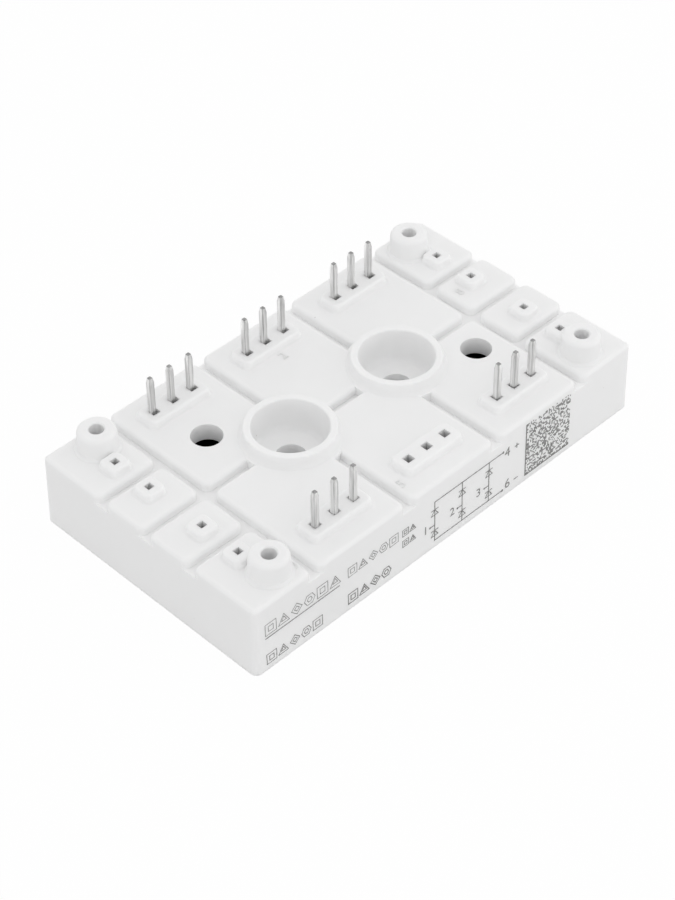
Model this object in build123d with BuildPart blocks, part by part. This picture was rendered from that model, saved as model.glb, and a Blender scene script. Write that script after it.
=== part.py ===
# Three-phase bridge rectifier module for a printed circuit board.
# Millimetres, +Z up, origin at the middle of the underside. +X runs along the long printed side,
# which faces -Y. The solder pins point up and the cooling face points down.
import math
import os
from build123d import *

os.makedirs("parts", exist_ok=True)

# Housing outline
length = 84.8
width = 47.7
tile_top = 13.3
wall_draft = 1.45
corner_radius = 1.2
copper_proud = 0.1

# Grooves that part the top into tiles
groove_pitch_x = 19.75
groove_pitch_y = 9.78
groove_width = 1.5
groove_depth = 1.7
tile_corner_radius = 1.2
tile_edge_radius = 0.7

# Inside of the housing
wall = 3.4
roof = 1.5
cavity_corner_radius = 1.0
ledge_wall = 2.3
post_height = 3.0
post_radius = 2.9

# Screw wells
well_spacing = 23.7
well_top = 15.25
well_radius = 6.2
well_rim = 1.25
well_floor = 9.0
well_floor_slope = 3.0
well_draft = 1.5
well_flare = 1.2
flare_sink = 0.1
well_floor_thickness = 2.2
well_floor_fillet = 1.0
well_edge_radius = 0.25
screw_hole_radius = 2.5
column_radius = 4.4

# Corner bosses for the board screws
boss_inset_x = 7.75
boss_inset_y = 4.8
boss_top = 17.2
boss_radius = 3.3
boss_draft = 2.0
boss_flare = 0.45
boss_sink = 0.85
boss_edge_radius = 0.8
boss_hole_radius = 1.22
boss_hole_depth = 8.5
boss_hole_point = 0.4
boss_hole_chamfer = 0.2

# Pin pedestals and end pads
pedestal_height = 1.3
pedestal_length = 12.5
pedestal_width = 4.6
pedestal_radius = 1.0
pedestal_draft = 8.0
pedestal_edge_radius = 0.4
pedestal_foot_radius = 0.35
pad_size = 4.1
pad_inset = 6.6
pad_inner_y = 5.85
pad_outer_y = 13.65
pad_hole = 1.2

# Fill holes
fill_hole_radius = 2.6
fill_hole_places = ((-21.1, 9.1), (23.6, -6.5))

# Pins
pin_pitch = 4.0
pin_group_pitch = 20.0
pin_inset_back = 5.9
pin_inset_front = 6.15
pin_size = 1.0
pin_hole = 1.45
pin_tip = 21.5
pin_edge_chamfer = 0.12
pin_taper_length = 1.0
pin_tip_size = 0.68
pin_tip_chamfer = 0.08
pin_foot_size = 1.7
pin_foot_height = 0.4
phase_pin_slack = (-0.2, 0.2)
plus_pin_slack = (-0.18, -0.18)
minus_pin_slack = (-0.08, -0.08)

# Substrate
copper_thickness = 0.3
ceramic_thickness = 0.63
ceramic_clearance = 0.3
adhesive_thickness = 0.2
bottom_copper_margin = 1.8
ceramic_hole_radius = 3.0
bottom_copper_hole_radius = 3.8

# Copper areas on top of the ceramic
copper_margin = 1.25
copper_gap = 1.0
column_copper_gap = 0.8
phase_depth = 10.7
phase_half_pitch = 9.9
minus_strip_width = 2.2
minus_arm_width = 7.2
minus_block_depth = 11.0
plus_block_right = 6.0
plus_strip_gap = 2.1

# Diode chips
chip_size = 6.0
chip_thickness = 0.35
solder_thickness = 0.1
upper_chip_margin = 1.2
lower_chip_margin = 0.4
upper_chip_x = (-28.0, -3.2, 21.5)
lower_chip_x = (-20.0, 4.8, 30.0)

# Bond wires
wire_diameter = 0.4
wires_per_chip = 3
wire_pitch = 1.6
wire_foot_length = 1.0
wire_foot_width = 0.55
wire_foot_height = 0.28
wire_bend_radius = 0.8
wire_slope_run = 1.1
lower_wire_apex = 1.6
upper_wire_apex = 2.6
wire_chip_offset = 1.3
wire_foot_overlap = 0.2
wire_foot_sink = 0.04

# Silicone gel
gel_top = 6.4

# Heights that follow from the sizes above
groove_floor = tile_top - groove_depth
cavity_top = groove_floor - roof
ceramic_bottom = copper_thickness
ceramic_top = ceramic_bottom + ceramic_thickness
copper_top = ceramic_top + copper_thickness
ledge_height = ceramic_top + adhesive_thickness
pedestal_top = tile_top + pedestal_height
taper_start = pin_tip - pin_taper_length
well_floor_underside = well_floor - well_floor_thickness
chip_bottom = copper_top + solder_thickness
chip_top = chip_bottom + chip_thickness

# Plan sizes that follow
cavity_length = length - 2 * wall
cavity_width = width - 2 * wall
rebate_length = length - 2 * ledge_wall
rebate_width = width - 2 * ledge_wall
ceramic_length = rebate_length - 2 * ceramic_clearance
ceramic_width = rebate_width - 2 * ceramic_clearance

# Radii and depths that follow
collar_radius = well_radius + well_rim
flare_radius = collar_radius + well_flare
flare_arc_radius = 1.1 * well_flare
boss_root = tile_top - boss_sink
well_floor_edge = well_floor + (well_radius - screw_hole_radius) * math.tan(math.radians(well_floor_slope))
well_floor_radius = well_radius - (well_top - well_floor_edge) * math.tan(math.radians(well_draft))
boss_lean = (boss_top - tile_top) * math.tan(math.radians(boss_draft))
boss_disc_radius = boss_radius - boss_lean - boss_edge_radius

# Places
well_places = [(-well_spacing / 2, 0), (well_spacing / 2, 0)]
boss_x = length / 2 - boss_inset_x
boss_y = width / 2 - boss_inset_y
boss_places = [(x, y) for x in (-boss_x, boss_x) for y in (-boss_y, boss_y)]
groove_places_x = [groove_pitch_x * (i - 1.5) for i in range(4)]
end_strip = length / 2 - groove_places_x[-1]
end_strip_x = (length - end_strip) / 2
end_groove_places = [(x, y) for x in (-end_strip_x, end_strip_x) for y in (-groove_pitch_y, groove_pitch_y)]
pad_x = length / 2 - pad_inset
pad_rows = (-pad_outer_y, -pad_inner_y, pad_inner_y, pad_outer_y)
pad_places = [(x, y) for x in (-pad_x, pad_x) for y in pad_rows]
pin_row_back = width / 2 - pin_inset_back
pin_row_front = pin_inset_front - width / 2
pedestal_places = [(pin_group_pitch * i, y) for y in (pin_row_back, pin_row_front) for i in (-1, 0, 1)]
pin_hole_places = [(x + pin_pitch * i, y) for x, y in pedestal_places for i in (-1, 0, 1)]


def upright_edge(edge, bottom, top):
    """True for an edge that runs up from one height to another, away from the corners of the case."""
    x, y, z = edge.center()
    return (
        abs(z - (bottom + top) / 2) < (top - bottom) / 4
        and abs((edge @ 1).Z - (edge @ 0).Z) > (top - bottom) / 2
        and max(length / 2 - abs(x), width / 2 - abs(y)) > 2 * corner_radius
    )


def upright_plane(x, y):
    """Plane through a place that faces -Y, with its own y axis pointing up."""
    return Plane((x, y, 0), x_dir=(1, 0, 0), z_dir=(0, -1, 0))


def export(piece, name):
    """Names a finished piece and writes it to its own file."""
    piece.part.label = name
    export_step(piece.part, f"parts/{name}.step")


# Housing: one white moulding, starting from a block with draft
with BuildPart() as housing:
    with BuildSketch(Plane.XY.offset(copper_proud)):
        RectangleRounded(length, width, corner_radius)
    extrude(amount=tile_top - copper_proud, taper=wall_draft)

    # Grooves: four across, one along the middle and two more along each end strip
    with BuildSketch(Plane.XY.offset(tile_top)):
        with Locations(*[(x, 0) for x in groove_places_x]):
            Rectangle(groove_width, width)
        Rectangle(length, groove_width)
        with Locations(*end_groove_places):
            Rectangle(end_strip, groove_width)
    extrude(amount=-groove_depth, mode=Mode.SUBTRACT)

    # Tile corners and tile edges are rounded
    fillet(housing.edges().filter_by(lambda e: upright_edge(e, groove_floor, tile_top)), tile_corner_radius)
    fillet(housing.faces().filter_by(Axis.Z).group_by(Axis.Z)[-1].edges(), tile_edge_radius)

    # Pedestals under the pin groups and pads at the two ends
    with BuildSketch(Plane.XY.offset(tile_top)):
        with Locations(*pedestal_places):
            Rectangle(pedestal_length, pedestal_width)
        with Locations(*pad_places):
            Rectangle(pad_size, pad_size)
    extrude(amount=pedestal_height, taper=pedestal_draft)
    fillet(housing.edges().filter_by(lambda e: upright_edge(e, tile_top, pedestal_top)), pedestal_radius)
    tile_faces = housing.faces().filter_by(Axis.Z).group_by(Axis.Z)[-2]
    foot_edges = [edge for face in tile_faces for foot in face.inner_wires() for edge in foot.edges()]
    fillet(foot_edges, pedestal_foot_radius)
    fillet(housing.faces().filter_by(Axis.Z).group_by(Axis.Z)[-1].edges(), pedestal_edge_radius)

    # Cavity, and the rebate that the ceramic lies in
    with BuildSketch(Plane.XY):
        RectangleRounded(cavity_length, cavity_width, cavity_corner_radius)
    extrude(amount=cavity_top, mode=Mode.SUBTRACT)
    with BuildSketch(Plane.XY):
        Rectangle(rebate_length, rebate_width)
    extrude(amount=ledge_height, mode=Mode.SUBTRACT)

    # Screw wells: a collar that flares into the tiles, a cup inside and a column down to the ceramic
    for x, y in well_places:
        with BuildSketch(upright_plane(x, y)):
            with BuildLine():
                rim_line = Line((0, well_top), (collar_radius, well_top))
                side_line = Line(rim_line @ 1, (collar_radius, tile_top + well_flare))
                flare_foot = (flare_radius, tile_top - flare_sink)
                flare_line = RadiusArc(side_line @ 1, flare_foot, -flare_arc_radius)
                Polyline(
                    flare_line @ 1,
                    (flare_radius, cavity_top),
                    (collar_radius, cavity_top),
                    (collar_radius, well_floor_underside),
                    (column_radius, well_floor_underside),
                    (column_radius, ceramic_top),
                    (0, ceramic_top),
                    (0, well_top),
                )
            make_face()
        revolve(axis=Axis((x, y, 0), (0, 0, 1)))

    # Bores of the wells, with a dished floor round each screw hole
    for x, y in well_places:
        with BuildSketch(upright_plane(x, y)):
            with BuildLine():
                cup_line = FilletPolyline(
                    (well_radius, well_top),
                    (well_floor_radius, well_floor_edge),
                    (screw_hole_radius, well_floor),
                    radius=well_floor_fillet,
                )
                Polyline(
                    cup_line @ 1,
                    (screw_hole_radius, 0),
                    (0, 0),
                    (0, well_top),
                    cup_line @ 0,
                )
            make_face()
        revolve(axis=Axis((x, y, 0), (0, 0, 1)), mode=Mode.SUBTRACT)
    fillet(housing.edges().group_by(Axis.Z)[-1], well_edge_radius)

    # Bosses for the board screws, with a small flare at the foot and a post below the roof
    for x, y in boss_places:
        with BuildSketch(upright_plane(x, y)):
            with BuildLine():
                edge_middle = (boss_disc_radius, boss_top - boss_edge_radius)
                rounded_edge = CenterArc(edge_middle, boss_edge_radius, 0, 90)
                Polyline(
                    rounded_edge @ 0,
                    (boss_radius, tile_top + boss_flare),
                    (boss_radius + boss_flare, tile_top),
                    (boss_radius + boss_flare, boss_root),
                    (post_radius, boss_root),
                    (post_radius, cavity_top - post_height),
                    (0, cavity_top - post_height),
                    (0, boss_top),
                    rounded_edge @ 1,
                )
            make_face()
        revolve(axis=Axis((x, y, 0), (0, 0, 1)))
        with BuildSketch(upright_plane(x, y)):
            with BuildLine():
                Polyline(
                    (0, boss_top),
                    (boss_hole_radius + boss_hole_chamfer, boss_top),
                    (boss_hole_radius, boss_top - boss_hole_chamfer),
                    (boss_hole_radius, boss_top - boss_hole_depth),
                    (0, boss_top - boss_hole_depth - boss_hole_point),
                    close=True,
                )
            make_face()
        revolve(axis=Axis((x, y, 0), (0, 0, 1)), mode=Mode.SUBTRACT)

    # Holes for the pins, for contacts that this version leaves out, and for filling
    with BuildSketch(Plane.XY.offset(cavity_top)):
        with Locations(*pin_hole_places):
            Rectangle(pin_hole, pin_hole)
        with Locations(*pad_places):
            Rectangle(pad_hole, pad_hole)
        with Locations(*fill_hole_places):
            Circle(fill_hole_radius)
    extrude(amount=pedestal_top - cavity_top, mode=Mode.SUBTRACT)
export(housing, "housing")

# Ceramic plate with a hole for each screw
with BuildPart() as ceramic_plate:
    with BuildSketch(Plane.XY.offset(ceramic_bottom)):
        Rectangle(ceramic_length, ceramic_width)
        with Locations(*well_places):
            Circle(ceramic_hole_radius, mode=Mode.SUBTRACT)
    extrude(amount=ceramic_thickness)
export(ceramic_plate, "ceramic_plate")

# Copper face below, which passes the heat to the heat sink
with BuildPart() as cooling_copper:
    with BuildSketch(Plane.XY):
        RectangleRounded(
            ceramic_length - 2 * bottom_copper_margin,
            ceramic_width - 2 * bottom_copper_margin,
            bottom_copper_margin,
        )
        with Locations(*well_places):
            Circle(bottom_copper_hole_radius, mode=Mode.SUBTRACT)
    extrude(amount=copper_thickness)
export(cooling_copper, "cooling_copper")

# Adhesive between the ceramic's border and the ledge of the housing
with BuildPart() as adhesive_bead:
    with BuildSketch(Plane.XY.offset(ceramic_top)):
        Rectangle(ceramic_length, ceramic_width)
        RectangleRounded(cavity_length, cavity_width, cavity_corner_radius, mode=Mode.SUBTRACT)
    extrude(amount=adhesive_thickness)
export(adhesive_bead, "adhesive_bead")


def copper_area(*corners):
    """Copper on the ceramic: rectangles by their low and high corners, clear of the columns."""
    with BuildPart() as area:
        with BuildSketch(Plane.XY.offset(ceramic_top)):
            for x_low, y_low, x_high, y_high in corners:
                with Locations(((x_low + x_high) / 2, (y_low + y_high) / 2)):
                    Rectangle(x_high - x_low, y_high - y_low)
            with Locations(*well_places):
                Circle(column_radius + column_copper_gap, mode=Mode.SUBTRACT)
        extrude(amount=copper_thickness)
    return area


# Copper areas: one for each phase at the back, plus on the left, minus round the right
copper_x = ceramic_length / 2 - copper_margin
copper_y = ceramic_width / 2 - copper_margin
phase_front = copper_y - phase_depth
minus_back = phase_front - copper_gap
minus_front = minus_back - minus_strip_width
minus_arm_left = copper_x - minus_arm_width
minus_block_back = minus_block_depth - copper_y
plus_back = minus_front - plus_strip_gap
phase_inner = phase_half_pitch - copper_gap / 2
phase_outer = phase_half_pitch + copper_gap / 2
phase_ends = ((-copper_x, -phase_outer), (-phase_inner, phase_inner), (phase_outer, copper_x))
phase_coppers = [copper_area((left, phase_front, right, copper_y)) for left, right in phase_ends]
minus_copper = copper_area(
    (-copper_x, minus_front, copper_x, minus_back),
    (minus_arm_left, -copper_y, copper_x, minus_back),
    (plus_block_right + copper_gap, -copper_y, copper_x, minus_block_back),
)
plus_copper = copper_area(
    (-copper_x, minus_block_back + copper_gap, minus_arm_left - copper_gap, plus_back),
    (-copper_x, -copper_y, plus_block_right, plus_back),
)
for i, area in enumerate(phase_coppers):
    export(area, f"phase_copper_{i + 1}")
export(minus_copper, "minus_copper")
export(plus_copper, "plus_copper")


def plate(x, y, bottom, side, thickness):
    """Square plate with its middle at x, y."""
    with BuildPart() as square:
        with BuildSketch(Plane.XY.offset(bottom)):
            with Locations((x, y)):
                Rectangle(side, side)
        extrude(amount=thickness)
    return square


def bond_wires(x, chip_y, land_y, land_z, apex):
    """Bond wires side by side, each from a foot on the chip to a foot on a copper area."""
    toward = 1 if land_y > chip_y else -1
    with BuildPart() as wires:
        for i in range(wires_per_chip):
            wire_x = x + (i - (wires_per_chip - 1) / 2) * wire_pitch
            for foot_y, foot_z in ((chip_y, chip_top), (land_y, land_z)):
                with BuildSketch(Plane.XY.offset(foot_z)):
                    with Locations((wire_x, foot_y)):
                        Rectangle(wire_foot_width, wire_foot_length)
                extrude(amount=wire_foot_height)
            start_y = chip_y + toward * wire_foot_overlap
            end_y = land_y - toward * wire_foot_overlap
            with BuildLine():
                path = FilletPolyline(
                    (wire_x, start_y, chip_top + wire_foot_height - wire_foot_sink),
                    (wire_x, start_y + toward * wire_slope_run, apex),
                    (wire_x, end_y - toward * wire_slope_run, apex),
                    (wire_x, end_y, land_z + wire_foot_height - wire_foot_sink),
                    radius=wire_bend_radius,
                )
            with BuildSketch(Plane(path @ 0, z_dir=path % 0)):
                Circle(wire_diameter / 2)
            sweep(path=path)
    return wires


def pin_section(x, y, height, size):
    """Square face with cut corners, at a height."""
    with BuildSketch(Plane.XY.offset(height)) as section:
        with Locations((x, y)):
            Rectangle(size, size)
        chamfer(section.vertices(), pin_edge_chamfer)
    return section.sketch.face()


def pin(x, y):
    """Square solder pin with chamfered edges, a foot on the copper and a tapered tip."""
    with BuildPart() as post:
        with BuildSketch(Plane.XY.offset(copper_top)):
            with Locations((x, y)):
                Rectangle(pin_foot_size, pin_foot_size)
        extrude(amount=pin_foot_height)
        extrude(pin_section(x, y, copper_top, pin_size), amount=taper_start - copper_top)
        shoulder = pin_section(x, y, taper_start, pin_size)
        tip = pin_section(x, y, pin_tip, pin_tip_size)
        loft([shoulder, tip], ruled=True)
        chamfer(post.faces().sort_by(Axis.Z)[-1].edges(), pin_tip_chamfer)
    return post


soaked = [*phase_coppers, minus_copper, plus_copper]

# Diodes: for each phase, one to plus and one from minus, with its solder and its wires
upper_chip_y = plus_back - upper_chip_margin - chip_size / 2
lower_chip_y = phase_front + lower_chip_margin + chip_size / 2
upper_land_y = phase_front + wire_foot_length
lower_land_y = (minus_front + minus_back) / 2
for i in range(3):
    for name, chip_x, chip_y, wire_offset, land_y, apex in (
        ("plus", upper_chip_x[i], upper_chip_y, wire_chip_offset, upper_land_y, upper_wire_apex),
        ("minus", lower_chip_x[i], lower_chip_y, -wire_chip_offset, lower_land_y, lower_wire_apex),
    ):
        solder = plate(chip_x, chip_y, copper_top, chip_size, solder_thickness)
        diode = plate(chip_x, chip_y, chip_bottom, chip_size, chip_thickness)
        wires = bond_wires(chip_x, chip_y + wire_offset, land_y, copper_top, chip_top + apex)
        export(solder, f"{name}_diode_solder_{i + 1}")
        export(diode, f"{name}_diode_{i + 1}")
        export(wires, f"{name}_diode_wires_{i + 1}")
        soaked += [solder, diode, wires]

# Pins: three to each phase at the back, three to plus and three to minus at the front
for name, group_x, row_y, slack in (
    ("phase_1", -pin_group_pitch, pin_row_back, phase_pin_slack),
    ("phase_2", 0, pin_row_back, phase_pin_slack),
    ("phase_3", pin_group_pitch, pin_row_back, phase_pin_slack),
    ("plus", -pin_group_pitch, pin_row_front, plus_pin_slack),
    ("minus", pin_group_pitch, pin_row_front, minus_pin_slack),
):
    for i, letter in enumerate("abc"):
        contact = pin(group_x + slack[0] + (i - 1) * pin_pitch, row_y + slack[1])
        export(contact, f"{name}_pin_{letter}")
        soaked.append(contact)

# Gel that covers the live parts, with everything that stands in it cut out
with BuildPart() as gel_fill:
    with BuildSketch(Plane.XY.offset(ceramic_top)):
        RectangleRounded(cavity_length, cavity_width, cavity_corner_radius)
        with Locations(*well_places):
            Circle(column_radius, mode=Mode.SUBTRACT)
    extrude(amount=gel_top - ceramic_top)
    add([piece.part for piece in soaked], mode=Mode.SUBTRACT)
export(gel_fill, "gel_fill")
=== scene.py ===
"""Bridge rectifier module: finishes, moulded and printed marks, and a plain pale studio."""
import math
import random
from functools import partial, wraps

import bmesh
import bpy
from bpy.props import FloatProperty, FloatVectorProperty, IntProperty, PointerProperty
from mathutils import Matrix, Vector


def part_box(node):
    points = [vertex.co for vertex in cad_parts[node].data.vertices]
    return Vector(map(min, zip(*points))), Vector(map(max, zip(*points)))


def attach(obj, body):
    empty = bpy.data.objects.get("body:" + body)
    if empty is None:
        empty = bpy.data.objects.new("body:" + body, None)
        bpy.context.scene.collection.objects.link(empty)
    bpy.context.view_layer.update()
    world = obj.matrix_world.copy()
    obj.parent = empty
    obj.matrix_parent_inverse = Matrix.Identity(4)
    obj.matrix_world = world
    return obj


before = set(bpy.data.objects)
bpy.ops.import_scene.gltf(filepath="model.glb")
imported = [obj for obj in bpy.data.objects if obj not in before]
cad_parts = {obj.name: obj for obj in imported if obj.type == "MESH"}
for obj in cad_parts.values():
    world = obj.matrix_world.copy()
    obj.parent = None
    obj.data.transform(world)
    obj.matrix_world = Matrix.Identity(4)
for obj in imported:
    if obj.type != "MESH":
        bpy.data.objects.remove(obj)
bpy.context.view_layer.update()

bl_info = {
    "name": "Bridge Rectifier Module",
    "version": (1, 0, 0),
    "blender": (4, 5, 0),
    "location": "View3D > Sidebar > Rectifier",
    "description": "Dresses a bridge rectifier module in its finishes and prints, on a floor",
    "category": "Object",
}

MM = 0.001
BODY = "root"

CASE_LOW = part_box("housing")[0]
WALL_DRAFT = math.radians(1.45)
PHASES = ("1", "2", "3")
PIN_ENDS = ("phase_1", "phase_2", "phase_3", "plus", "minus")
PIN_LETTERS = "abc"


class CaseSettings(bpy.types.PropertyGroup):
    colour: FloatVectorProperty(
        name="Plastic", description="Colour of the moulded case", subtype="COLOR",
        size=3, min=0, max=1, default=(0.955, 0.955, 0.955),
    )
    roughness: FloatProperty(
        name="Roughness", description="How matt the case is", min=0, max=1, default=0.46,
    )
    grain_size: FloatProperty(
        name="Grain Size", description="Size of the fine grain left by the mould",
        subtype="DISTANCE", unit="LENGTH", default=0.35 * MM,
    )


class MetalSettings(bpy.types.PropertyGroup):
    tin: FloatVectorProperty(
        name="Tin", description="Colour of the tinned pins", subtype="COLOR",
        size=3, min=0, max=1, default=(0.74, 0.74, 0.735),
    )
    copper: FloatVectorProperty(
        name="Copper", description="Colour of the copper faces", subtype="COLOR",
        size=3, min=0, max=1, default=(0.82, 0.42, 0.28),
    )


class PrintSettings(bpy.types.PropertyGroup):
    ink: FloatVectorProperty(
        name="Ink", description="Colour of the laser print", subtype="COLOR",
        size=3, min=0, max=1, default=(0.21, 0.21, 0.205),
    )
    line: FloatProperty(
        name="Line", description="Thickness of the printed lines",
        subtype="DISTANCE", unit="LENGTH", default=0.19 * MM,
    )
    figure_height: FloatProperty(
        name="Figures", description="Height of the printed contact numbers",
        subtype="DISTANCE", unit="LENGTH", default=1.85 * MM,
    )
    cells: IntProperty(
        name="Cells", description="Cells along each side of the square field", default=40,
    )


class StageSettings(bpy.types.PropertyGroup):
    azimuth: FloatProperty(
        name="Azimuth", description="Turn of the camera about the module",
        subtype="ANGLE", unit="ROTATION", default=math.radians(-44.821),
    )
    elevation: FloatProperty(
        name="Elevation", description="Height of the camera as an angle",
        subtype="ANGLE", unit="ROTATION", default=math.radians(42.637),
    )
    roll: FloatProperty(
        name="Roll", description="Tilt of the camera about its own line of sight",
        subtype="ANGLE", unit="ROTATION", default=math.radians(-0.401),
    )
    distance: FloatProperty(
        name="Distance", description="Distance from the camera to the module",
        subtype="DISTANCE", unit="LENGTH", default=0.366178,
    )
    across: FloatProperty(
        name="Across", description="Step of the camera to its right",
        subtype="DISTANCE", unit="LENGTH", default=-1.177 * MM,
    )
    rise: FloatProperty(
        name="Rise", description="Step of the camera upwards",
        subtype="DISTANCE", unit="LENGTH", default=1.673 * MM,
    )
    lens: FloatProperty(
        name="Lens", description="Focal length on a 36 mm wide sensor", default=120.98,
    )
    sky: FloatProperty(
        name="Sky", description="Strength of the even light from all round", default=0.86,
    )
    floor_glow: FloatProperty(
        name="Floor Glow", description="How far the floor shows as plain white instead of lit",
        min=0, max=1, default=0.97,
    )


class ModuleSettings(bpy.types.PropertyGroup):
    case: PointerProperty(type=CaseSettings)
    metal: PointerProperty(type=MetalSettings)
    marks: PointerProperty(type=PrintSettings)
    stage: PointerProperty(type=StageSettings)


def settings():
    """The module's own settings on the scene."""
    return bpy.context.scene.rectifier_module


# Node groups that materials share

def math_step(tree, operation, *sources):
    """Adds one Math node fed by sockets or plain numbers, and returns its output socket."""
    node = tree.nodes.new("ShaderNodeMath")
    node.operation = operation
    for socket, source in zip(node.inputs, sources):
        if isinstance(source, float):
            socket.default_value = source
        else:
            tree.links.new(source, socket)
    return node.outputs["Value"]


def shader_group(name, inputs, outputs):
    """Makes the function below it build a node group on first use and hand it out after that."""
    def wrap(fill):
        @wraps(fill)
        def fetch():
            group = bpy.data.node_groups.get(name)
            if group is None:
                group = bpy.data.node_groups.new(name, "ShaderNodeTree")
                new_socket = partial(group.interface.new_socket, socket_type="NodeSocketFloat")
                for label, default in inputs.items():
                    new_socket(label, in_out="INPUT").default_value = default
                for label in outputs:
                    new_socket(label, in_out="OUTPUT")
                given = group.nodes.new("NodeGroupInput")
                result = group.nodes.new("NodeGroupOutput")
                fill(group, given.outputs, result.inputs)
            return group
        return fetch
    return wrap


@shader_group("Surface grain", {"Fine Scale": 3000.0, "Broad Scale": 120.0}, ("Height", "Mottle"))
def grain_group(group, given, result):
    """Fine grain and broad mottling: a height for bump and a mask for colour or roughness."""
    nodes, links = group.nodes, group.links
    place = nodes.new("ShaderNodeTexCoord")
    for scale, detail, target in (("Fine Scale", 2.0, "Height"), ("Broad Scale", 4.0, "Mottle")):
        noise = nodes.new("ShaderNodeTexNoise")
        noise.inputs["Detail"].default_value = detail
        links.new(place.outputs["Object"], noise.inputs["Vector"])
        links.new(given[scale], noise.inputs["Scale"])
        links.new(noise.outputs["Fac"], result[target])


STREAK_DETAIL = 3.0
BROAD_STREAK_SCALE = 3200.0
BROAD_STREAK_BEND = 0.4


@shader_group("Drawn streaks", {"Scale": 9000.0, "Stretch": 0.04}, ("Height", "Tone"))
def streak_group(group, given, result):
    """Long lines along Z, as drawing and plating leave them on a pin: fine ones and broad ones."""
    nodes, links = group.nodes, group.links
    place = nodes.new("ShaderNodeTexCoord")
    stretch = nodes.new("ShaderNodeCombineXYZ")
    stretch.inputs["X"].default_value = 1.0
    stretch.inputs["Y"].default_value = 1.0
    links.new(given["Stretch"], stretch.inputs["Z"])
    drawn = nodes.new("ShaderNodeVectorMath")
    drawn.operation = "MULTIPLY"
    links.new(place.outputs["Object"], drawn.inputs[0])
    links.new(stretch.outputs["Vector"], drawn.inputs[1])
    fine = nodes.new("ShaderNodeTexNoise")
    fine.inputs["Detail"].default_value = STREAK_DETAIL
    links.new(given["Scale"], fine.inputs["Scale"])
    broad = nodes.new("ShaderNodeTexNoise")
    broad.inputs["Scale"].default_value = BROAD_STREAK_SCALE
    broad.inputs["Distortion"].default_value = BROAD_STREAK_BEND
    for noise, target in ((fine, "Height"), (broad, "Tone")):
        links.new(drawn.outputs["Vector"], noise.inputs["Vector"])
        links.new(noise.outputs["Fac"], result[target])


@shader_group("Specks", {"Scale": 150.0, "Size": 0.02}, ("Mask",))
def speck_group(group, given, result):
    """A few tiny specks, far apart, such as any pale moulding picks up."""
    nodes, links = group.nodes, group.links
    place = nodes.new("ShaderNodeTexCoord")
    spots = nodes.new("ShaderNodeTexVoronoi")
    links.new(place.outputs["Object"], spots.inputs["Vector"])
    links.new(given["Scale"], spots.inputs["Scale"])
    near = math_step(group, "LESS_THAN", spots.outputs["Distance"], given["Size"])
    links.new(near, result["Mask"])


# Contact holes in the case, where painted shade darkens the walls, in metres, each found by its
# distance from the case's middle
HOLE_RIM = 14.6 * MM
PAD_HOLE_X = 35.8 * MM
PAD_HOLE_ROWS = (5.85 * MM, 13.65 * MM)
PAD_HOLE_REACH = 0.7 * MM
PIN_HOLE_ROW = 17.825 * MM
PIN_ROW_REACH = 0.95 * MM
PIN_HOLE_REACH = 0.8 * MM
PIN_GROUP_REACH = 4.9 * MM
PIN_SPAN = 26.0 * MM
HALF_PIN_PITCH = 2.0 * MM
HALF_GROUP_PITCH = 10.0 * MM


@shader_group("Painted hole shade", {"Rim": HOLE_RIM, "Fade": MM}, ("Mask",))
def painted_hole_shade_group(group, given, result):
    """Mask of painted shade on the walls in the small square holes. It grows with depth, standing
    in for the little light that gets in.
    """
    step = partial(math_step, group)
    place = group.nodes.new("ShaderNodeTexCoord")
    parts = group.nodes.new("ShaderNodeSeparateXYZ")
    group.links.new(place.outputs["Object"], parts.inputs["Vector"])
    across, along, height = parts.outputs
    from_middle = step("ABSOLUTE", across)
    from_axis = step("ABSOLUTE", along)

    inner, outer = (step("COMPARE", from_axis, row, PAD_HOLE_REACH) for row in PAD_HOLE_ROWS)
    in_end_row = step("COMPARE", from_middle, PAD_HOLE_X, PAD_HOLE_REACH)
    in_pad_hole = step("MULTIPLY", in_end_row, step("MAXIMUM", inner, outer))

    in_pin_hole = step("COMPARE", from_axis, PIN_HOLE_ROW, PIN_ROW_REACH)
    for distance, reach in (
        (from_middle, PIN_SPAN),
        (step("PINGPONG", across, HALF_GROUP_PITCH), PIN_GROUP_REACH),
        (step("PINGPONG", across, HALF_PIN_PITCH), PIN_HOLE_REACH),
    ):
        in_pin_hole = step("MULTIPLY", in_pin_hole, step("LESS_THAN", distance, reach))

    depth = step("DIVIDE", step("SUBTRACT", given["Rim"], height), given["Fade"])
    depth = step("MAXIMUM", step("MINIMUM", depth, 1.0), 0.0)
    in_hole = step("MAXIMUM", in_pad_hole, in_pin_hole)
    group.links.new(step("MULTIPLY", in_hole, depth), result["Mask"])


@shader_group("Painted pin shade", {"Least Slant": 0.25, "Least Rise": 0.6}, ("Facet", "End"))
def painted_pin_shade_group(group, given, result):
    """Masks of painted shade on a square pin: its upright edge facets, which face slantwise, and
    its cut end, which faces up.
    """
    step = partial(math_step, group)
    facing = group.nodes.new("ShaderNodeNewGeometry")
    parts = group.nodes.new("ShaderNodeSeparateXYZ")
    group.links.new(facing.outputs["True Normal"], parts.inputs["Vector"])
    across, along, upward = parts.outputs
    slant = step("ABSOLUTE", step("MULTIPLY", across, along))
    group.links.new(step("GREATER_THAN", slant, given["Least Slant"]), result["Facet"])
    group.links.new(step("GREATER_THAN", upward, given["Least Rise"]), result["End"])


# Materials

# Noise stays mostly between these two, so a mask is spread from one to the other
MASK_LOW = 0.3
MASK_HIGH = 0.7


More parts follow.
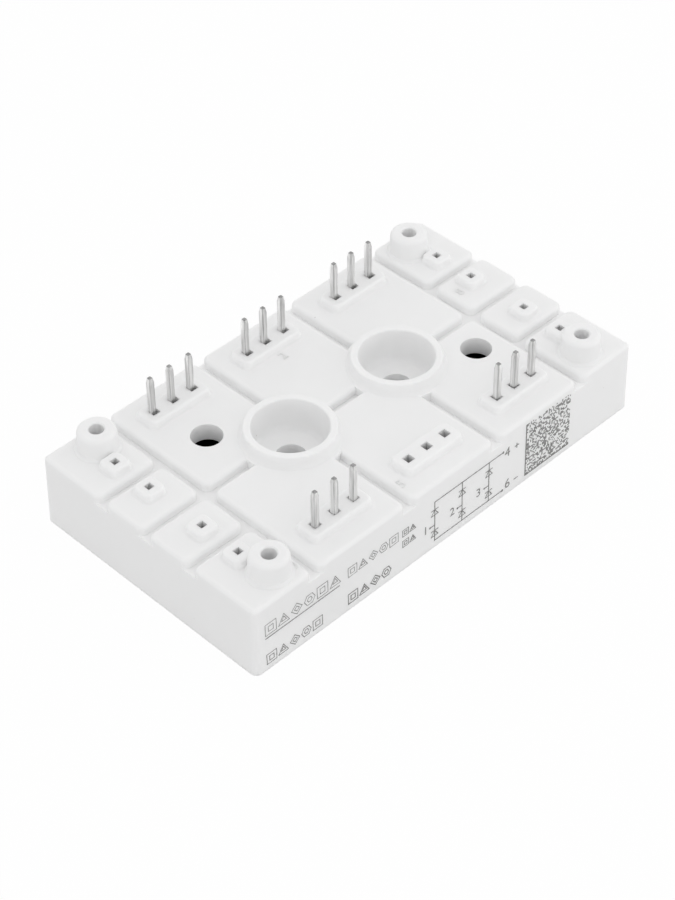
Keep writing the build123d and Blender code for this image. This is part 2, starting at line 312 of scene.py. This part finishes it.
class Finish:
    """A Principled material with short helpers for what it is made of."""

    def __init__(self, name, colour, roughness, metallic=0.0):
        self.material = bpy.data.materials.new(name)
        self.material.use_nodes = True
        self.nodes = self.material.node_tree.nodes
        self.links = self.material.node_tree.links
        self.shader = self.nodes["Principled BSDF"]
        self.shader.inputs["Base Color"].default_value = (*colour, 1.0)
        self.shader.inputs["Roughness"].default_value = roughness
        self.shader.inputs["Metallic"].default_value = metallic
        self.material.diffuse_color = (*colour, 1.0)

    def group(self, tree, **values):
        """Places a node group, sets its inputs (underscores for spaces), and gives its outputs."""
        node = self.nodes.new("ShaderNodeGroup")
        node.node_tree = tree
        for label, value in values.items():
            node.inputs[label.replace("_", " ")].default_value = value
        return node.outputs

    def bump(self, height, depth, strength):
        """Bump from a height that runs from 0 to 1, with its depth in metres."""
        node = self.nodes.new("ShaderNodeBump")
        node.inputs["Distance"].default_value = depth
        node.inputs["Strength"].default_value = strength
        self.links.new(height, node.inputs["Height"])
        self.links.new(node.outputs["Normal"], self.shader.inputs["Normal"])

    def polish(self, mask, low, high):
        """Runs the roughness between two values by a mask."""
        node = self.nodes.new("ShaderNodeMapRange")
        node.inputs["From Min"].default_value = MASK_LOW
        node.inputs["From Max"].default_value = MASK_HIGH
        node.inputs["To Min"].default_value = low
        node.inputs["To Max"].default_value = high
        self.links.new(mask, node.inputs["Value"])
        self.links.new(node.outputs["Result"], self.shader.inputs["Roughness"])

    def tint(self, mask, dark, light):
        """Runs the base colour between two colours by a mask."""
        node = self.nodes.new("ShaderNodeValToRGB")
        stops = zip(node.color_ramp.elements, (MASK_LOW, MASK_HIGH), (dark, light))
        for stop, position, colour in stops:
            stop.position = position
            stop.color = (*colour, 1.0)
        self.links.new(mask, node.inputs["Fac"])
        self.links.new(node.outputs["Color"], self.shader.inputs["Base Color"])

    def stain_and_shade(self, mask, colour):
        """Multiplies the base colour, which already has a link, by a colour where a mask is 1: used
        for real stains and for painted shade.
        """
        node = self.nodes.new("ShaderNodeMixRGB")
        node.blend_type = "MULTIPLY"
        node.inputs["Color2"].default_value = (*colour, 1.0)
        base = self.shader.inputs["Base Color"]
        self.links.new(mask, node.inputs["Fac"])
        self.links.new(base.links[0].from_socket, node.inputs["Color1"])
        self.links.new(node.outputs["Color"], base)


def shaded(colour, factor):
    """A colour made darker or lighter."""
    return tuple(min(1.0, part * factor) for part in colour)


def grey(level):
    """A plain grey of one level."""
    return (level, level, level)


def moulded_plastic():
    """White moulded plastic: satin, with a very fine grain, a faint mottle, and painted shade deep
    in the contact holes.
    """
    case = settings().case
    finish = Finish("White moulded plastic", case.colour, case.roughness)
    grain = finish.group(grain_group(), Fine_Scale=1.0 / case.grain_size, Broad_Scale=160.0)
    finish.tint(grain["Mottle"], dark=shaded(case.colour, 0.985), light=shaded(case.colour, 1.01))
    finish.polish(grain["Mottle"], low=case.roughness - 0.04, high=case.roughness + 0.05)
    finish.bump(grain["Height"], depth=0.004 * MM, strength=0.5)
    specks = finish.group(speck_group(), Scale=140.0, Size=0.02)
    finish.stain_and_shade(specks["Mask"], (0.75, 0.74, 0.72))
    # Painted shade: the walls of the small square contact holes grow darker with depth.
    hole_shade = finish.group(painted_hole_shade_group(), Fade=0.8 * MM)
    finish.stain_and_shade(hole_shade["Mask"], grey(0.74))
    finish.shader.inputs["Subsurface Weight"].default_value = 0.6
    finish.shader.inputs["Subsurface Scale"].default_value = 0.7 * MM
    finish.shader.inputs["Subsurface Radius"].default_value = grey(1.0)
    return finish.material


def tinned_metal():
    """Tin plate over a drawn pin: bright, with long fine streaks, and painted shade on its slanted
    edge facets and on its end, which faces up.
    """
    metal = settings().metal
    finish = Finish("Tinned pin", metal.tin, roughness=0.34, metallic=1.0)
    streaks = finish.group(streak_group(), Scale=7000.0, Stretch=0.05)
    finish.tint(streaks["Tone"], dark=shaded(metal.tin, 0.78), light=shaded(metal.tin, 1.25))
    finish.polish(streaks["Tone"], low=0.42, high=0.27)
    finish.bump(streaks["Height"], depth=0.02 * MM, strength=0.5)
    # Painted shade: the pin's slanted edge facets and its upward-facing end are darkened in colour.
    pin_shade = finish.group(painted_pin_shade_group(), Least_Slant=0.25, Least_Rise=0.6)
    finish.stain_and_shade(pin_shade["Facet"], grey(0.72))
    finish.stain_and_shade(pin_shade["End"], grey(0.5))
    return finish.material


def copper_face():
    """Bare copper, with a fine grain and a faint tarnish."""
    metal = settings().metal
    finish = Finish("Bare copper", metal.copper, roughness=0.32, metallic=1.0)
    grain = finish.group(grain_group(), Fine_Scale=5000.0, Broad_Scale=90.0)
    finish.tint(grain["Mottle"], dark=shaded(metal.copper, 0.82), light=shaded(metal.copper, 1.08))
    finish.polish(grain["Mottle"], low=0.26, high=0.40)
    finish.bump(grain["Height"], depth=0.003 * MM, strength=0.6)
    return finish.material


def fired_ceramic():
    """Off-white fired ceramic with a fine bite."""
    finish = Finish("Fired ceramic", (0.82, 0.80, 0.74), roughness=0.5)
    grain = finish.group(grain_group(), Fine_Scale=6000.0, Broad_Scale=300.0)
    finish.tint(grain["Mottle"], dark=(0.79, 0.77, 0.71), light=(0.85, 0.83, 0.78))
    finish.bump(grain["Height"], depth=0.003 * MM, strength=0.7)
    return finish.material


def silicone(name, colour, roughness):
    """Soft silicone: smooth, with a slow uneven surface."""
    finish = Finish(name, colour, roughness)
    grain = finish.group(grain_group(), Fine_Scale=400.0, Broad_Scale=150.0)
    finish.tint(grain["Mottle"], dark=shaded(colour, 0.85), light=shaded(colour, 1.15))
    finish.bump(grain["Height"], depth=0.05 * MM, strength=0.3)
    return finish.material


def polished_chip():
    """Polished silicon, dark with a cool tone."""
    finish = Finish("Silicon chip", (0.16, 0.17, 0.20), roughness=0.16)
    finish.shader.inputs["Coat Weight"].default_value = 0.4
    grain = finish.group(grain_group(), Fine_Scale=2000.0, Broad_Scale=200.0)
    finish.polish(grain["Mottle"], low=0.12, high=0.24)
    return finish.material


def dull_solder():
    """Solder with a dull, slightly lumpy skin."""
    finish = Finish("Solder", (0.42, 0.42, 0.41), roughness=0.45, metallic=1.0)
    grain = finish.group(grain_group(), Fine_Scale=1500.0, Broad_Scale=300.0)
    finish.polish(grain["Mottle"], low=0.35, high=0.6)
    finish.bump(grain["Height"], depth=0.02 * MM, strength=0.6)
    return finish.material


def wire_metal():
    """Bright aluminium of the bond wires."""
    finish = Finish("Bond wire", (0.72, 0.72, 0.73), roughness=0.25, metallic=1.0)
    grain = finish.group(grain_group(), Fine_Scale=4000.0, Broad_Scale=600.0)
    finish.polish(grain["Mottle"], low=0.2, high=0.34)
    return finish.material


def print_ink():
    """Grey laser print, a little uneven like the real one, made on first use."""
    name = "Laser print"
    if name in bpy.data.materials:
        return bpy.data.materials[name]
    ink = settings().marks.ink
    finish = Finish(name, ink, roughness=0.6)
    grain = finish.group(grain_group(), Fine_Scale=9000.0, Broad_Scale=2600.0)
    finish.tint(grain["Mottle"], dark=shaded(ink, 0.7), light=shaded(ink, 1.5))
    return finish.material


FLOOR_ALBEDO = 0.88
FLOOR_ROUGHNESS = 0.9


def pale_floor():
    """Pale matt floor that the camera, and what mirrors it, see as almost plain white."""
    finish = Finish("Pale floor", grey(FLOOR_ALBEDO), FLOOR_ROUGHNESS)
    finish.shader.inputs["Specular IOR Level"].default_value = 0.0
    nodes, links = finish.nodes, finish.links
    step = partial(math_step, finish.material.node_tree)
    rays = nodes.new("ShaderNodeLightPath").outputs
    seen = step("MAXIMUM", rays["Is Camera Ray"], rays["Is Glossy Ray"])
    seen = step("MAXIMUM", seen, rays["Is Transmission Ray"])
    white = nodes.new("ShaderNodeEmission")
    mix = nodes.new("ShaderNodeMixShader")
    links.new(step("MULTIPLY", seen, settings().stage.floor_glow), mix.inputs["Fac"])
    links.new(finish.shader.outputs["BSDF"], mix.inputs[1])
    links.new(white.outputs["Emission"], mix.inputs[2])
    links.new(mix.outputs["Shader"], nodes["Material Output"].inputs["Surface"])
    return finish.material


# Pieces

def dress(nodes, material):
    """Gives CAD nodes a material in place of their plain one."""
    for name in nodes:
        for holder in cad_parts[name].material_slots:
            holder.material = material


def add_object(name, data):
    """Adds an object to the scene."""
    thing = bpy.data.objects.new(name, data)
    bpy.context.scene.collection.objects.link(thing)
    return thing


def finished_mesh(name, bm, material):
    """Mesh of a bmesh, which is used up, in one material."""
    mesh = bpy.data.meshes.new(name)
    bm.to_mesh(mesh)
    bm.free()
    mesh.materials.append(material)
    return mesh


def add_piece(name, bm, material):
    """Makes a finished piece of a bmesh, in place, and fastens it to the module."""
    bmesh.ops.recalc_face_normals(bm, faces=bm.faces)
    piece = add_object(name, finished_mesh(name, bm, material))
    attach(piece, BODY)


# Capital height as a share of the font's size, and steps along each curve of a figure
FIGURE_SHARE = 0.7
FIGURE_STEPS = 4


def add_figure(bm, text, height, depth, placed):
    """Adds a plain figure to a bmesh, its middle at a matrix. Its sizes are in millimetres."""
    curve = bpy.data.curves.new("figure", "FONT")
    curve.body = text
    curve.size = height * MM / FIGURE_SHARE
    curve.align_x = "CENTER"
    curve.align_y = "CENTER"
    curve.extrude = depth * MM / 2
    curve.resolution_u = FIGURE_STEPS
    holder = add_object("figure", curve)
    bpy.context.view_layer.update()
    mesh = bpy.data.meshes.new_from_object(holder)
    mesh.transform(placed)
    bm.from_mesh(mesh)
    bpy.data.objects.remove(holder)
    bpy.data.curves.remove(curve)
    bpy.data.meshes.remove(mesh)


# Print on the long face: x runs along the face and z up it, both in millimetres

PRINT_DEPTH = 0.012
PRINT_SINK = 0.004
DOT_SEGMENTS = 16


def wall_matrix(x, z):
    """Lays a flat print at x and height z on the leaning long face, with its own Y up the wall."""
    y = CASE_LOW.y + (z * MM - CASE_LOW.z) * math.tan(WALL_DRAFT)
    lean = Matrix.Rotation(math.radians(90) - WALL_DRAFT, 4, "X")
    lift = Matrix.Translation((0, 0, (PRINT_DEPTH / 2 - PRINT_SINK) * MM))
    return Matrix.Translation((x * MM, y, z * MM)) @ lean @ lift


def add_bar(bm, x, z, width, height, turn=0.0):
    """Flat printed bar with its middle at x, z."""
    size = Matrix.Diagonal((width * MM, height * MM, PRINT_DEPTH * MM, 1.0))
    placed = wall_matrix(x, z) @ Matrix.Rotation(turn, 4, "Z") @ size
    bmesh.ops.create_cube(bm, size=1.0, matrix=placed)


def add_line(bm, start, end, thickness):
    """Printed line between two points."""
    dx, dz = end[0] - start[0], end[1] - start[1]
    add_bar(
        bm, (start[0] + end[0]) / 2, (start[1] + end[1]) / 2,
        math.hypot(dx, dz) + thickness, thickness, math.atan2(dz, dx),
    )


def add_dot(bm, x, z, radius):
    """Printed dot."""
    bmesh.ops.create_cone(
        bm, cap_ends=True, segments=DOT_SEGMENTS, radius1=radius * MM, radius2=radius * MM,
        depth=PRINT_DEPTH * MM, matrix=wall_matrix(x, z),
    )


# Circuit drawing: two rails, three legs with two diodes each, and the contacts at their taps
RAIL_TOP = 9.55
RAIL_BOTTOM = 1.55
RAIL_END = 11.3
RAIL_DOT = 0.24
LEGS = (-4.3, 1.9, 8.05)
UPPER_DIODE = 7.45
LOWER_DIODE = 3.1
DIODE_WIDTH = 1.5
DIODE_HEIGHT = 1.1
SYMBOL_LINE = 0.85
TAP_HEIGHT = 4.8
TAP_REACH = 1.05
TAP_DOT = 0.2
SIGN_X = 14.5
SIGN_SIZE = 0.8
PLUS_HEIGHT = 9.05
MINUS_HEIGHT = 2.15

# Contact numbers: figure, x, z, relative height
CONTACT_FIGURES = (
    ("1", -6.35, 4.8, 0.88),
    ("2", -0.35, 4.8, 0.88),
    ("3", 5.65, 4.8, 0.88),
    ("4", 12.3, 8.95, 1.0),
    ("6", 12.5, 2.25, 1.0),
)


class RECTIFIER_OT_circuit_drawing(bpy.types.Operator):
    """Prints the bridge circuit and its contact numbers on the long face"""

    bl_idname = "rectifier.circuit_drawing"
    bl_label = "Circuit Drawing"

    def execute(self, context):
        marks = settings().marks
        line = marks.line / MM
        bm = bmesh.new()
        for z in (RAIL_TOP, RAIL_BOTTOM):
            add_line(bm, (LEGS[0], z), (RAIL_END, z), line)
            add_dot(bm, RAIL_END, z, RAIL_DOT)
        for x in LEGS:
            add_line(bm, (x, RAIL_BOTTOM), (x, RAIL_TOP), line)
            for z in (UPPER_DIODE, LOWER_DIODE):
                self.diode(bm, x, z, line * SYMBOL_LINE)
            add_line(bm, (x - TAP_REACH, TAP_HEIGHT), (x, TAP_HEIGHT), line)
            add_dot(bm, x - TAP_REACH, TAP_HEIGHT, TAP_DOT)
        for text, x, z, share in CONTACT_FIGURES:
            height = marks.figure_height / MM * share
            add_figure(bm, text, height, PRINT_DEPTH, wall_matrix(x, z))
        half = SIGN_SIZE / 2
        for z in (PLUS_HEIGHT, MINUS_HEIGHT):
            add_line(bm, (SIGN_X - half, z), (SIGN_X + half, z), line)
        add_line(bm, (SIGN_X, PLUS_HEIGHT - half), (SIGN_X, PLUS_HEIGHT + half), line)
        add_piece("circuit_drawing", bm, print_ink())
        return {"FINISHED"}

    def diode(self, bm, x, z, line):
        """Diode symbol: an open triangle that points up, with a bar at its tip."""
        left, right = x - DIODE_WIDTH / 2, x + DIODE_WIDTH / 2
        low, high = z - DIODE_HEIGHT / 2, z + DIODE_HEIGHT / 2
        for start, end in (
            ((left, low), (right, low)),
            ((left, low), (x, high)),
            ((right, low), (x, high)),
            ((left, high), (right, high)),
        ):
            add_line(bm, start, end, line)


# Square field of small cells, filled by seeded chance
FIELD_LEFT = 16.6
FIELD_BOTTOM = 1.1
FIELD_WIDTH = 10.7
FIELD_HEIGHT = 10.8
FIELD_SEED = 7
FIELD_FILL = 0.43
CELL_SHARE = 0.9


class RECTIFIER_OT_cell_field(bpy.types.Operator):
    """Prints a square field of small cells at the right of the long face"""

    bl_idname = "rectifier.cell_field"
    bl_label = "Cell Field"

    def execute(self, context):
        cells = settings().marks.cells
        chance = random.Random(FIELD_SEED)
        step_x, step_z = FIELD_WIDTH / cells, FIELD_HEIGHT / cells
        bm = bmesh.new()
        for row in range(1, cells):
            z = FIELD_BOTTOM + (row + 0.5) * step_z
            column = 1
            while column < cells:
                run = 0
                while column + run < cells and chance.random() < FIELD_FILL:
                    run += 1
                if run:
                    x = FIELD_LEFT + (column + run / 2) * step_x
                    add_bar(bm, x, z, (run - 1 + CELL_SHARE) * step_x, CELL_SHARE * step_z)
                column += run + 1
        self.borders(bm, step_x, step_z)
        add_piece("cell_field", bm, print_ink())
        return {"FINISHED"}

    def borders(self, bm, step_x, step_z):
        """Solid borders one cell wide, up the left side and along the bottom."""
        add_bar(
            bm, FIELD_LEFT + step_x / 2, FIELD_BOTTOM + FIELD_HEIGHT / 2, step_x, FIELD_HEIGHT,
        )
        add_bar(
            bm, FIELD_LEFT + (FIELD_WIDTH + step_x) / 2, FIELD_BOTTOM + step_z / 2,
            FIELD_WIDTH - step_x, step_z,
        )


# Rows of plain shapes: left, bottom, size, count, relative line
SHAPE_ROWS = (
    (-40.1, 7.15, 2.2, 6, 0.56),
    (-23.1, 6.9, 1.85, 5, 0.54),
    (-40.1, 1.25, 1.97, 5, 0.67),
    (-23.2, 1.35, 2.0, 4, 0.9),
    (-11.4, 7.1, 1.3, 2, 0.67),
    (-11.4, 4.9, 1.3, 2, 0.67),
)
SHAPE_GAP = 0.2
SHAPE_RINGS = (1.0, 0.45)
UNDERLINE = ((-40.1, 6.6), (-25.0, 6.6))

# A square, a triangle, a diamond and a hexagon, by the bearings of their corners in degrees
SHAPES = ((45, 135, 225, 315), (90, 210, 330), (0, 90, 180, 270), (0, 60, 120, 180, 240, 300))


class RECTIFIER_OT_shape_rows(bpy.types.Operator):
    """Prints rows of small plain shapes along the left of the long face"""

    bl_idname = "rectifier.shape_rows"
    bl_label = "Shape Rows"

    def execute(self, context):
        line = settings().marks.line / MM
        bm = bmesh.new()
        for left, bottom, size, count, weight in SHAPE_ROWS:
            z = bottom + size / 2
            for i in range(count):
                x = left + size * (0.5 + i * (1 + SHAPE_GAP))
                for ring in SHAPE_RINGS:
                    self.outline(bm, SHAPES[i % len(SHAPES)], x, z, ring * size, line * weight)
        add_line(bm, *UNDERLINE, line)
        add_piece("shape_rows", bm, print_ink())
        return {"FINISHED"}

    def outline(self, bm, bearings, x, z, size, line):
        """Outline of one shape, fitted in a square box about its middle."""
        across = [math.cos(math.radians(bearing)) for bearing in bearings]
        up = [math.sin(math.radians(bearing)) for bearing in bearings]
        scale = size / (max(across) - min(across))
        level = (max(up) + min(up)) / 2
        corners = [(x + scale * a, z + scale * (u - level)) for a, u in zip(across, up)]
        for start, end in zip(corners, corners[1:] + corners[:1]):
            add_line(bm, start, end, line)


# Faint raised figures on the tiles, in millimetres: figure, x, y
RAISED_FIGURES = (("2", 0.4, 14.3), ("5", -7.9, -19.9), ("8", 32.4, 5.2), ("9", -31.3, -20.8))
RAISED_HEIGHT = 1.7
RAISED_DEPTH = 0.2
RAISED_SINK = 0.13
TILE_TOP = 13.3


class RECTIFIER_OT_case(bpy.types.Operator):
    """Gives the case its white moulded plastic and its faint raised figures"""

    bl_idname = "rectifier.case"
    bl_label = "Case"

    def execute(self, context):
        plastic = moulded_plastic()
        dress(("housing",), plastic)
        bm = bmesh.new()
        middle = TILE_TOP + RAISED_DEPTH / 2 - RAISED_SINK
        for text, x, y in RAISED_FIGURES:
            placed = Matrix.Translation((x * MM, y * MM, middle * MM))
            add_figure(bm, text, RAISED_HEIGHT, RAISED_DEPTH, placed)
        add_piece("raised_figures", bm, plastic)
        return {"FINISHED"}


class RECTIFIER_OT_substrate(bpy.types.Operator):
    """Finishes the ceramic, its copper areas, the adhesive and the gel"""

    bl_idname = "rectifier.substrate"
    bl_label = "Substrate"

    def execute(self, context):
        areas = [f"phase_copper_{number}" for number in PHASES]
        dress(("ceramic_plate",), fired_ceramic())
        dress(("cooling_copper", "plus_copper", "minus_copper", *areas), copper_face())
        dress(("adhesive_bead",), silicone("Adhesive bead", (0.20, 0.20, 0.21), roughness=0.5))
        dress(("gel_fill",), silicone("Dark soft gel", (0.012, 0.012, 0.013), roughness=0.22))
        return {"FINISHED"}


class RECTIFIER_OT_diodes(bpy.types.Operator):
    """Finishes the diode chips, their solder and their bond wires"""

    bl_idname = "rectifier.diodes"
    bl_label = "Diodes"

    def execute(self, context):
        for part, material in (
            ("diode", polished_chip()),
            ("diode_solder", dull_solder()),
            ("diode_wires", wire_metal()),
        ):
            nodes = [f"{side}_{part}_{phase}" for side in ("plus", "minus") for phase in PHASES]
            dress(nodes, material)
        return {"FINISHED"}


class RECTIFIER_OT_pins(bpy.types.Operator):
    """Gives the solder pins their tin plate"""

    bl_idname = "rectifier.pins"
    bl_label = "Pins"

    def execute(self, context):
        dress([f"{end}_pin_{letter}" for end in PIN_ENDS for letter in PIN_LETTERS], tinned_metal())
        return {"FINISHED"}


# The floor's half side in metres, and a hair of air that keeps it off the cooling face's plane
FLOOR_REACH = 3.0
FLOOR_GAP = 0.02 * MM

# Lamps that light the module's middle: name, width in metres, power in watts, place in metres
LAMPS = (
    ("Soft top", 0.5, 0.12, (0.1, -0.25, 0.5)),
    ("Soft side", 0.25, 0.07, (0.26, -0.22, 0.08)),
)

WHITE = (1.0, 1.0, 1.0, 1.0)
SENSOR_WIDTH = 36.0
NEAREST_SEEN = 0.01
FURTHEST_SEEN = 20.0


class RECTIFIER_OT_stage(bpy.types.Operator):
    """Sets up the pale floor, the soft light and the camera"""

    bl_idname = "rectifier.stage"
    bl_label = "Stage"

    def execute(self, context):
        self.floor()
        self.sky(context.scene)
        self.lamps()
        self.camera(context.scene)
        context.scene.view_settings.view_transform = "Standard"
        return {"FINISHED"}

    def floor(self):
        """Pale floor, which keeps a faint soft shadow of the module."""
        bm = bmesh.new()
        bmesh.ops.create_grid(bm, x_segments=1, y_segments=1, size=FLOOR_REACH)
        floor = add_object("floor", finished_mesh("floor", bm, pale_floor()))
        floor.location.z = -FLOOR_GAP

    def sky(self, scene):
        """Even pale light from all round, seen as white behind the module."""
        world = bpy.data.worlds.new("Studio")
        world.use_nodes = True
        scene.world = world
        nodes, links = world.node_tree.nodes, world.node_tree.links
        light = nodes["Background"]
        light.inputs["Color"].default_value = WHITE
        light.inputs["Strength"].default_value = settings().stage.sky
        white = nodes.new("ShaderNodeBackground")
        white.inputs["Color"].default_value = WHITE
        rays = nodes.new("ShaderNodeLightPath")
        mix = nodes.new("ShaderNodeMixShader")
        links.new(rays.outputs["Is Camera Ray"], mix.inputs["Fac"])
        links.new(light.outputs["Background"], mix.inputs[1])
        links.new(white.outputs["Background"], mix.inputs[2])
        links.new(mix.outputs["Shader"], nodes["World Output"].inputs["Surface"])

    def lamps(self):
        """Two broad soft lamps: one high in front, one low at the right of the printed face."""
        for name, size, energy, place in LAMPS:
            data = bpy.data.lights.new(name, "AREA")
            data.shape = "DISK"
            data.size = size
            data.energy = energy
            lamp = add_object(name, data)
            lamp.location = place
            lamp.rotation_euler = (-lamp.location).to_track_quat("-Z", "Y").to_euler()

    def camera(self, scene):
        """Camera at the photograph's angle, distance and lens."""
        stage = settings().stage
        back = Vector((
            math.sin(stage.azimuth) * math.cos(stage.elevation),
            -math.cos(stage.azimuth) * math.cos(stage.elevation),
            math.sin(stage.elevation),
        ))
        level = (-back).cross(Vector((0, 0, 1))).normalized()
        upward = level.cross(-back)
        right = level * math.cos(stage.roll) + upward * math.sin(stage.roll)
        up = upward * math.cos(stage.roll) - level * math.sin(stage.roll)
        data = bpy.data.cameras.new("Camera")
        data.sensor_fit = "HORIZONTAL"
        data.sensor_width = SENSOR_WIDTH
        data.lens = stage.lens
        data.clip_start = NEAREST_SEEN
        data.clip_end = FURTHEST_SEEN
        camera = add_object("Camera", data)
        turned = Matrix((right, up, back)).transposed().to_4x4()
        place = back * stage.distance + right * stage.across + up * stage.rise
        camera.matrix_world = Matrix.Translation(place) @ turned
        scene.camera = camera


class RECTIFIER_PT_panel(bpy.types.Panel):
    """Lists the module's steps and settings"""

    bl_label = "Bridge Rectifier"
    bl_idname = "RECTIFIER_PT_panel"
    bl_space_type = "VIEW_3D"
    bl_region_type = "UI"
    bl_category = "Rectifier"

    def draw(self, context):
        layout = self.layout
        module = settings()
        for label, group, names in (
            ("Case", module.case, ("colour", "roughness", "grain_size")),
            ("Metal", module.metal, ("tin", "copper")),
            ("Print", module.marks, ("ink", "line", "figure_height", "cells")),
            ("Camera angle", module.stage, ("azimuth", "elevation", "roll")),
            ("Camera place", module.stage, ("distance", "across", "rise", "lens")),
            ("Light", module.stage, ("sky", "floor_glow")),
        ):
            box = layout.box()
            box.label(text=label)
            for name in names:
                box.prop(group, name)
        for operator in OPERATORS:
            layout.operator(operator.bl_idname)


OPERATORS = (
    RECTIFIER_OT_case,
    RECTIFIER_OT_substrate,
    RECTIFIER_OT_diodes,
    RECTIFIER_OT_pins,
    RECTIFIER_OT_circuit_drawing,
    RECTIFIER_OT_cell_field,
    RECTIFIER_OT_shape_rows,
    RECTIFIER_OT_stage,
)
CLASSES = (
    CaseSettings,
    MetalSettings,
    PrintSettings,
    StageSettings,
    ModuleSettings,
    *OPERATORS,
    RECTIFIER_PT_panel,
)


def register():
    for cls in CLASSES:
        bpy.utils.register_class(cls)
    bpy.types.Scene.rectifier_module = PointerProperty(type=ModuleSettings)


def unregister():
    del bpy.types.Scene.rectifier_module
    for cls in reversed(CLASSES):
        bpy.utils.unregister_class(cls)


def main():
    """Builds the whole scene."""
    register()
    bpy.ops.rectifier.case()
    bpy.ops.rectifier.substrate()
    bpy.ops.rectifier.diodes()
    bpy.ops.rectifier.pins()
    bpy.ops.rectifier.circuit_drawing()
    bpy.ops.rectifier.cell_field()
    bpy.ops.rectifier.shape_rows()
    bpy.ops.rectifier.stage()


if __name__ == "__main__":
    main()
